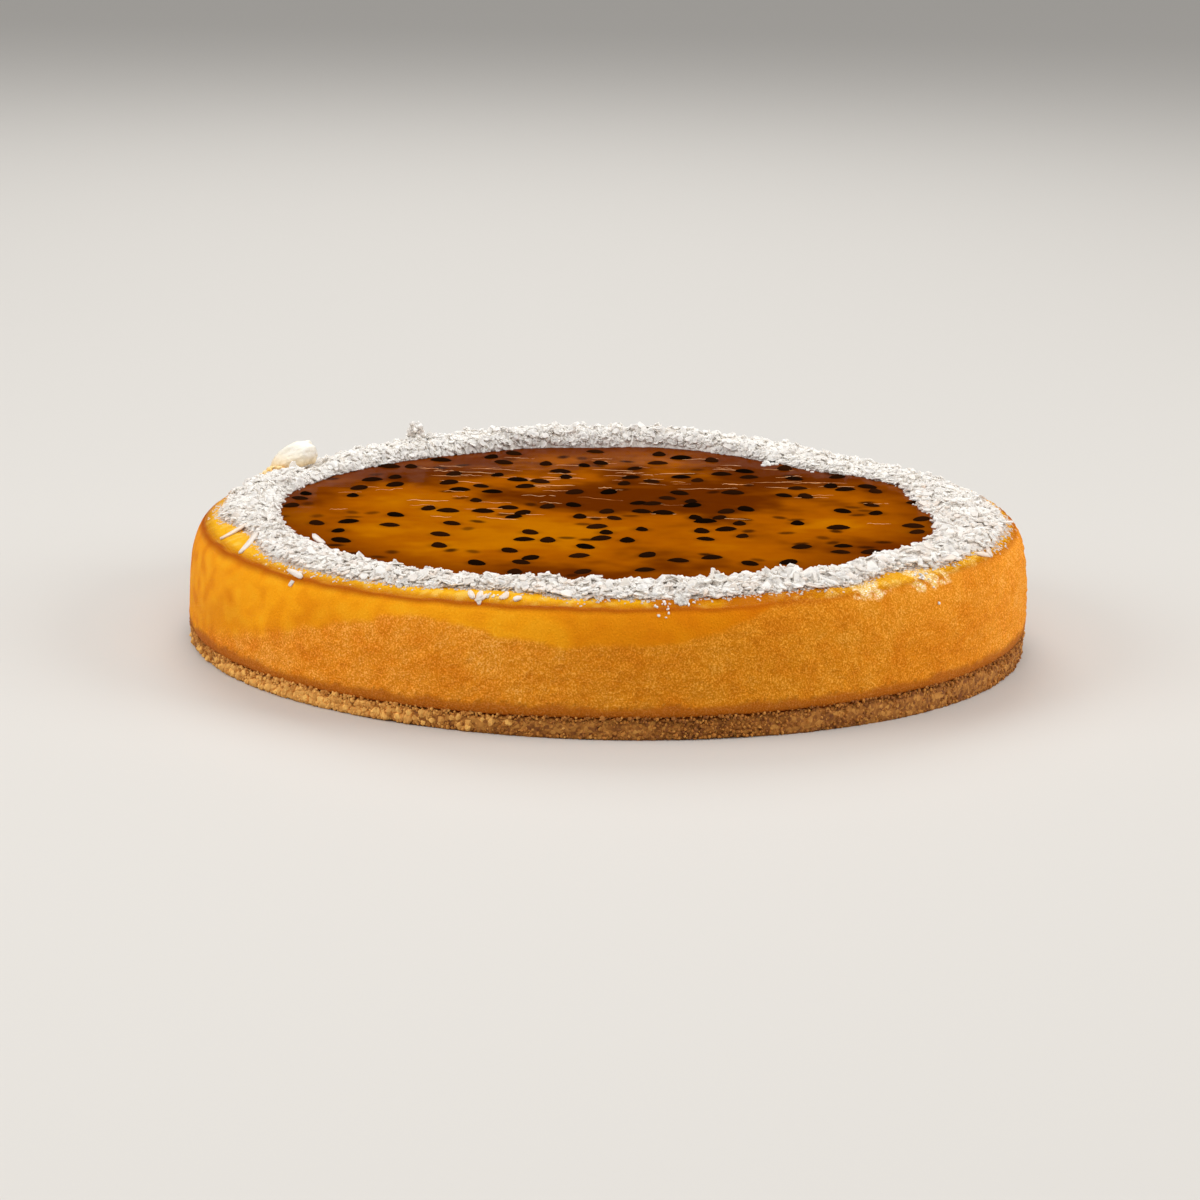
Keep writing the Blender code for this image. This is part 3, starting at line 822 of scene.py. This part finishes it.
def dropped(angle, radius):
    """Where something dropped on the cake comes to rest: (place, upward direction)."""
    above = Vector((radius * cos(angle), radius * sin(angle), DROP_HEIGHT))
    hit, normal, _, _ = ground.ray_cast(above, Vector((0.0, 0.0, -1.0)))
    return hit, normal


def lie(angle, share):
    """Where something dropped on the ring comes to rest: share is 0 at its inner edge and 1 at its outer."""
    inside, outside = ring_edges(np.array([angle]))
    return dropped(angle, float(inside[0] + share * (outside[0] - inside[0])))


def laid(place, normal, turn, tilt, size):
    """The matrix of a thing laid at a place: sized, turned flat on the ground, and then tilted."""
    on_ground = normal.to_track_quat("Z", "Y").to_matrix().to_4x4()
    return (
        Matrix.Translation(place)
        @ on_ground
        @ Euler((tilt[0], tilt[1], 0.0)).to_matrix().to_4x4()
        @ Matrix.Rotation(turn, 4, "Z")
        @ Matrix.Diagonal((*size, 1.0))
    )


def rough_block(seed):
    """One angular coconut crumb, about 1 across."""
    bpy.ops.object.select_all(action="DESELECT")
    bpy.ops.mesh.primitive_cube_add(size=0.8)
    return made_uneven(seed, 0.25)


def chip(seed):
    """One flat coconut flake with an uneven edge, 1 across and 1 thick before it is sized."""
    bpy.ops.object.select_all(action="DESELECT")
    bpy.ops.mesh.primitive_cylinder_add(vertices=6, radius=0.5, depth=1.0)
    return made_uneven(seed, 0.2)


def shred(seed):
    """One grated strip, 1 long and 1 wide before it is sized, curled and tapered to its ends."""
    bpy.ops.object.select_all(action="DESELECT")
    bpy.ops.mesh.primitive_cube_add(size=1.0)
    bpy.ops.object.mode_set(mode="EDIT")
    cut_across((0.0, -0.32, -0.16, 0.16, 0.32))
    bpy.ops.object.mode_set(mode="OBJECT")
    piece = bpy.context.object
    points = points_of(piece)
    draw = Random(seed)
    along = points[:, 0]
    width = 1.0 - 0.5 * ease(0.25, 0.5, np.abs(along + draw.uniform(-0.08, 0.08)))
    points[:, 1] = points[:, 1] * width + draw.uniform(-0.7, 0.7) * (along * along - 0.1)
    points[:, 2] += draw.uniform(0.6, 2.2) * (0.12 - along * along) * draw.choice((-1.0, 1.0))
    put_points(piece, points)
    return shape_of(piece)


def clump(seed):
    """One soft lump of coconut that clings together, about 1 across."""
    bpy.ops.object.select_all(action="DESELECT")
    bpy.ops.mesh.primitive_ico_sphere_add(subdivisions=2, radius=0.5)
    piece = bpy.context.object
    points = points_of(piece)
    points *= (1.0 + 0.9 * lumps(points, 0.55, 5.0 * seed) + 0.5 * lumps(points, 0.22, 9.0 * seed))[:, None]
    put_points(piece, points)
    return shape_of(piece)


# How many of each kind, and how far from its middle the cream lump keeps them off.
CLUMP_COUNT = 900
CRUMB_COUNT = 7500
FLAKE_COUNT = 6800
SHRED_COUNT = 260
DUST_COUNT = 5000
LUMP_CLEAR = 0.0062


def coconut_places(draw, count, size_of, shapes, reach, lift, tilt):
    """Places for one kind of coconut over the ring: reach is how far it may stray past the ring's edges."""
    places = []
    while len(places) < count:
        angle = draw.uniform(-pi, pi)
        behind = float(stretch(angle, 100.0, 120.0))
        share = draw.uniform(-reach, 1.0 + reach)
        if draw.random() < 0.45 * behind:
            share = 0.22 * draw.random() ** 2 - 0.6 * reach
        hit, normal = lie(angle, share)
        cover = float(ease(-reach, 0.02, share) * (1.0 - ease(0.96, 1.0 + reach, share)))
        if draw.random() > cover or (hit.xy - LUMP_PLACE).length < LUMP_CLEAR:
            continue
        coarse = float(stretch(angle, -50.0, 95.0))
        size = [side * (0.6 + 0.4 * cover) * (0.75 + 0.42 * coarse) for side in size_of(draw)]
        up = size[2] * 0.2 + lift * draw.random() * cover
        lean = [draw.gauss(0.0, tilt) for _ in range(2)]
        matrix = laid(hit + normal * up, normal, draw.uniform(0.0, 2.0 * pi), lean, size)
        toast = 0.4 * float(ease(0.7, 1.05, share)) * (0.3 + behind) * draw.random()
        number = draw.randrange(len(shapes))
        # Pieces towards the back are painted whiter: painted light on the heap's slope that faces the front
        # there.
        tone = min((0.55 - 0.4 * behind) * draw.random() + toast, 1.0)
        places.append((number, matrix, tone))
    return places


def clump_size(draw):
    size = draw.uniform(0.0018, 0.0034)
    return size * draw.uniform(0.9, 1.3), size * draw.uniform(0.8, 1.1), size * draw.uniform(0.35, 0.5)


def crumb_size(draw):
    size = draw.uniform(0.0005, 0.0012)
    return size, size * draw.uniform(0.6, 1.0), size * draw.uniform(0.4, 0.8)


def flake_size(draw):
    size = draw.uniform(0.0018, 0.0034) * (1.0 + 0.9 * draw.random() ** 4)
    return size, size * draw.uniform(0.5, 0.85), draw.uniform(0.00035, 0.0006)


def shred_size(draw):
    return draw.uniform(0.0035, 0.0075), draw.uniform(0.0007, 0.0012), draw.uniform(0.0003, 0.0005)


def loose_coconut(name, shapes, places, smooth=True):
    """Sets out one kind of loose coconut."""
    piece = set_out(name, shapes, places)
    if smooth:
        piece.data.shade_smooth()
    dress(piece, coconut)
    return piece


blocks = [rough_block(seed) for seed in range(1, 7)]
chips = [chip(seed) for seed in range(1, 7)]
shreds = [shred(seed) for seed in range(1, 9)]
soft_clumps = [clump(seed) for seed in range(1, 7)]

clump_places = coconut_places(Random(59), CLUMP_COUNT, clump_size, soft_clumps, 0.0, 0.0002, 0.15)
clumps = loose_coconut("coconut_clumps", soft_clumps, clump_places)
ground = ground_of((coconut_bed, clumps, jelly, filling))

# Each kind: its name, count, size and shapes, how far it strays, how high it is heaped and how much it tilts.
kinds = (
    ("coconut_crumbs", CRUMB_COUNT, crumb_size, blocks, 0.05, 0.0002, 1.2),
    ("coconut_flakes", FLAKE_COUNT, flake_size, chips, 0.02, 0.0008, 0.18),
    ("coconut_shreds", SHRED_COUNT, shred_size, shreds, 0.0, 0.0005, 0.12),
)
for number, (name, count, size_of, shapes, reach, lift, tilt) in enumerate(kinds):
    places = coconut_places(Random(60 + number), count, size_of, shapes, reach, lift, tilt)
    loose_coconut(name, shapes, places, smooth=shapes is not chips)

# Fine dust on the wet shoulder: thick against the ring, thin further out, and most at the left and the right.
draw = Random(71)
places = []
while len(places) < DUST_COUNT:
    angle = draw.uniform(-pi, pi)
    share = 0.97 + draw.expovariate(20.0)
    thick = 0.35 + 0.65 * float(max(stretch(angle, -150.0, 34.0), stretch(angle, -15.0, 50.0)))
    if draw.random() > thick or share > 1.25:
        continue
    hit, normal = lie(angle, share)
    size = draw.uniform(0.0003, 0.0008)
    turn = draw.uniform(0.0, 2.0 * pi)
    matrix = laid(hit, normal, turn, (0.0, 0.0), (size * draw.uniform(1.0, 1.9), size, size * 0.5))
    places.append((draw.randrange(len(blocks)), matrix, draw.uniform(0.4, 0.85)))
loose_coconut("coconut_dust", blocks, places)

# Strips that lie apart, most of them over the shoulder: (angle in degrees, radius) of both ends, and a width
# that STRIP_SPREAD multiplies.
STRIP_SPREAD = 1.6
STRIP_THICKNESS = 0.0006
STRIP_LIFT = 0.0004
APART_STRIPS = (
    ((-161.0, 0.1241), (-164.3, 0.1152), 0.0013),
    ((-151.8, 0.1248), (-158.0, 0.1149), 0.0012),
    ((-136.8, 0.1276), (-136.5, 0.1238), 0.0011),
    ((-139.0, 0.1243), (-135.2, 0.1257), 0.0011),
    ((-154.0, 0.0995), (-147.0, 0.1020), 0.0012),
    ((-109.0, 0.1215), (-107.9, 0.1245), 0.0010),
    ((-107.4, 0.1212), (-106.9, 0.1262), 0.0011),
    ((-106.2, 0.1228), (-107.4, 0.1256), 0.0009),
    ((-103.6, 0.1208), (-104.2, 0.1240), 0.0012),
    ((-101.6, 0.1224), (-102.4, 0.1241), 0.0011),
    ((-4.0, 0.1005), (-2.0, 0.1060), 0.0014),
    ((2.0, 0.0975), (4.0, 0.1040), 0.0013),
    ((8.0, 0.0978), (9.0, 0.1045), 0.0015),
    ((12.5, 0.1000), (12.0, 0.1060), 0.0013),
    ((16.5, 0.1010), (15.0, 0.1065), 0.0014),
    ((20.0, 0.1020), (18.5, 0.1070), 0.0012),
    ((-24.5, 0.1262), (-20.5, 0.1217), 0.0011),
    ((-27.0, 0.1236), (-23.8, 0.1258), 0.0011),
)
# Small piles: (angle in degrees, radius, spread, rise, number of pieces, size of a piece).
APART_PILES = (
    (-80.2, 0.1232, 0.0014, 0.0006, 44, 0.0013),
    (-82.8, 0.1252, 0.0014, 0.0002, 12, 0.0008),
    (-106.0, 0.1228, 0.0012, 0.0003, 12, 0.0009),
    (-119.6, 0.1222, 0.0009, 0.0004, 9, 0.0018),
    (-42.0, 0.1238, 0.0022, 0.0002, 16, 0.0010),
    (124.5, 0.1150, 0.0014, 0.0060, 120, 0.0025),
    (56.0, 0.0945, 0.0028, 0.0001, 12, 0.0022),
    (44.5, 0.0985, 0.0024, 0.0002, 14, 0.0020),
)
draw = Random(83)
strip_places = []
for first, second, width in APART_STRIPS:
    ends = [dropped(radians(degrees), radius) for degrees, radius in (first, second)]
    along = ends[1][0] - ends[0][0]
    normal = (ends[0][1] + ends[1][1]).normalized()
    side_way = normal.cross(along).normalized()
    turned = Matrix((along.normalized(), side_way, along.cross(side_way).normalized())).transposed().to_4x4()
    middle = Matrix.Translation((ends[0][0] + ends[1][0]) * 0.5 + normal * STRIP_LIFT)
    size = Matrix.Diagonal((along.length, STRIP_SPREAD * width, STRIP_THICKNESS, 1.0))
    strip_places.append((draw.randrange(len(shreds)), middle @ turned @ size, draw.uniform(0.5, 0.72)))
loose_coconut("coconut_strips_apart", shreds, strip_places)

pile_places = []
for degrees, radius, spread, rise, count, size in APART_PILES:
    for _ in range(count):
        height_share = draw.random()
        room = spread * (1.0 - 0.6 * height_share)
        far = radius + draw.gauss(0.0, room)
        hit, normal = dropped(radians(degrees) + draw.gauss(0.0, room) / radius, far)
        long_way = size * draw.uniform(0.7, 1.3)
        sides = (long_way, long_way * draw.uniform(0.5, 0.85), draw.uniform(0.25, 0.4) * size + 0.0001)
        lean = (draw.gauss(0.0, 0.5), draw.gauss(0.0, 0.5)) if rise > 0.001 else (0.0, 0.0)
        place = hit + normal * 0.0001 + Vector((0.0, 0.0, rise * height_share))
        matrix = laid(place, normal, draw.uniform(0.0, 2.0 * pi), lean, sides)
        pile_places.append((draw.randrange(len(chips)), matrix, draw.uniform(0.0, 0.5)))
loose_coconut("coconut_piles_apart", chips, pile_places)


# Cream lump.
# A knob of soft cream cheese that fell on the coconut at the back left, smooth and ivory, with a few crumbs
# of the cake beside it.
LUMP_HALF_SIZE = Vector((0.0076, 0.0061, 0.0052))
LUMP_TURN = radians(-12.0)
LUMP_LEAN = 0.20

bpy.ops.object.select_all(action="DESELECT")
bpy.ops.mesh.primitive_ico_sphere_add(subdivisions=6, radius=1.0, rotation=(0.0, 0.0, LUMP_TURN))
knob = bpy.context.object
knob.name = "soft_cream_knob"
bpy.ops.object.transform_apply(location=True, rotation=True, scale=True)
bpy.ops.object.shade_smooth()
points = points_of(knob)
soft = 1.0 + 0.16 * lumps(points * 1.3 + (0.3, 2.1, 0.7), 1.0) + 0.07 * lumps(points, 1.0 / 3.1)
soft = soft + 0.018 * lumps(points, 0.13)
shaped = points * soft[:, None] * np.array(LUMP_HALF_SIZE)
shaped[:, 2] += LUMP_LEAN * shaped[:, 0]
shaped[:, 0] += LUMP_PLACE.x
shaped[:, 1] += LUMP_PLACE.y
bed = bed_height(np.hypot(shaped[:, 0], shaped[:, 1])) + RING_GAP
shaped[:, 2] = np.maximum(shaped[:, 2] + bed + LUMP_BED + 0.46 * LUMP_HALF_SIZE.z, bed + LUMP_BED + GAP)
put_points(knob, settled(shaped))

cream, tree, shader = new_finish("soft_cream_cheese", Roughness=0.42)
place = add_node(tree, "ShaderNodeTexCoord").outputs["Object"]
height = add_node(tree, "ShaderNodeSeparateXYZ", {"Vector": place}).outputs["Z"]
# The knob is painted darker and yellower towards its foot: painted shade.
low = add_node(tree, "ShaderNodeMapRange", {0: height, 1: 0.0400, 2: 0.0456, 3: 1.0, 4: 0.0}).outputs[0]
ivory_in = {0: low, 6: (*seen(250, 243, 226), 1.0), 7: (*seen(240, 206, 142), 1.0)}
ivory = add_node(tree, "ShaderNodeMix", ivory_in, data_type="RGBA")
grain_height = grained(tree, shader, ivory.outputs[2], 0.0015, 0.012)
raise_surface(tree, shader, grain_height, 0.3, 0.0004)
dress(knob, cream)
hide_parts("cream_lump")

CAKE_CRUMB_COUNT = 60
CAKE_CRUMB_ANGLE = 153.5
CAKE_CRUMB_RADIUS = 0.1222
draw = Random(97)
places = []
for _ in range(CAKE_CRUMB_COUNT):
    hit, normal = dropped(radians(draw.gauss(CAKE_CRUMB_ANGLE, 2.0)), draw.gauss(CAKE_CRUMB_RADIUS, 0.0014))
    size = draw.uniform(0.0009, 0.0026)
    sides = (size, size * draw.uniform(0.6, 1.0), size * draw.uniform(0.5, 0.8))
    above = hit + normal * (0.6 * size + 0.0006)
    matrix = laid(above, normal, draw.uniform(0.0, 2.0 * pi), (0.0, 0.0), sides)
    places.append((draw.randrange(len(crumb_shapes)), matrix, draw.random()))
cake_crumbs = set_out("custard_crumbs", crumb_shapes, places)
crumb_finish, tree, shader = new_finish("baked_custard_crumb", Roughness=0.6, Specular_IOR_Level=0.1)
tree.links.new(toned(tree, seen(246, 190, 84), seen(255, 236, 188)), shader.inputs["Base Color"])
dress(cake_crumbs, crumb_finish)


# Floor, light and camera.
# A plain pale floor, soft lamps at both sides, behind for the gloss and in front, a room that is brighter
# above than below, and the camera low in front.
bpy.ops.object.select_all(action="DESELECT")
bpy.ops.mesh.primitive_plane_add(size=12.0, location=(0.0, 0.0, 0.0))
floor = bpy.context.object
floor.name = "studio_floor"
pale, tree, shader = new_finish("pale_floor", Roughness=0.7)
shader.inputs["Base Color"].default_value = (*seen(206, 202, 196), 1.0)
floor.data.materials.append(pale)

# Each lamp: its name, place, size across and power.
LAMPS = (
    ("left_lamp", (-1.1, -0.35, 0.75), 0.9, 8.6),
    ("right_lamp", (1.2, -0.15, 0.7), 0.8, 9.5),
    ("back_lamp", (-0.1, 1.2, 1.1), 0.9, 8.5),
    ("front_lamp", (0.1, -1.4, 1.2), 1.2, 6.6),
)
for name, place, size, power in LAMPS:
    lamp = bpy.data.objects.new(name, bpy.data.lights.new(name, "AREA"))
    lamp.data.shape = "DISK"
    lamp.data.size = size
    lamp.data.energy = power
    lamp.location = place
    lamp.rotation_euler = (Vector((0.0, 0.0, 0.03)) - Vector(place)).to_track_quat("-Z", "Y").to_euler()
    bpy.context.scene.collection.objects.link(lamp)

world = bpy.data.worlds.new("soft_room")
bpy.context.scene.world = world
world.use_nodes = True
tree = world.node_tree
sky = tree.nodes["Background"]
direction = add_node(tree, "ShaderNodeTexCoord").outputs["Generated"]
rise = add_node(tree, "ShaderNodeSeparateXYZ", {"Vector": direction}).outputs["Z"]
room_colour = ramp_of(tree, rise, ((0.35, (0.012, 0.010, 0.008)), (0.80, (1.0, 1.0, 1.0))))
tree.links.new(room_colour, sky.inputs["Color"])
sky.inputs["Strength"].default_value = 0.78

FOCAL_PIXELS = 4132.0
IMAGE_PIXELS = 1200.0
SENSOR = 36.0
CAMERA_DISTANCE = 1.3
CAMERA_RISE = radians(12.8)
CAMERA_ROLL = radians(1.3)
CAMERA_AIM = Vector((-0.0022, 0.0, 0.0115))

camera = bpy.data.objects.new("camera", bpy.data.cameras.new("camera"))
bpy.context.scene.collection.objects.link(camera)
camera.data.sensor_width = SENSOR
camera.data.lens = FOCAL_PIXELS / IMAGE_PIXELS * SENSOR
camera.data.clip_start = 0.01
back = Vector((0.0, -cos(CAMERA_RISE), sin(CAMERA_RISE)))
level = Vector((1.0, 0.0, 0.0))
over = back.cross(level)
right = level * cos(CAMERA_ROLL) + over * sin(CAMERA_ROLL)
up = over * cos(CAMERA_ROLL) - level * sin(CAMERA_ROLL)
turned = Matrix((right, up, back)).transposed().to_4x4()
camera.matrix_world = Matrix.Translation(CAMERA_AIM + back * CAMERA_DISTANCE) @ turned
bpy.context.scene.camera = camera
bpy.context.scene.view_settings.view_transform = "Standard"
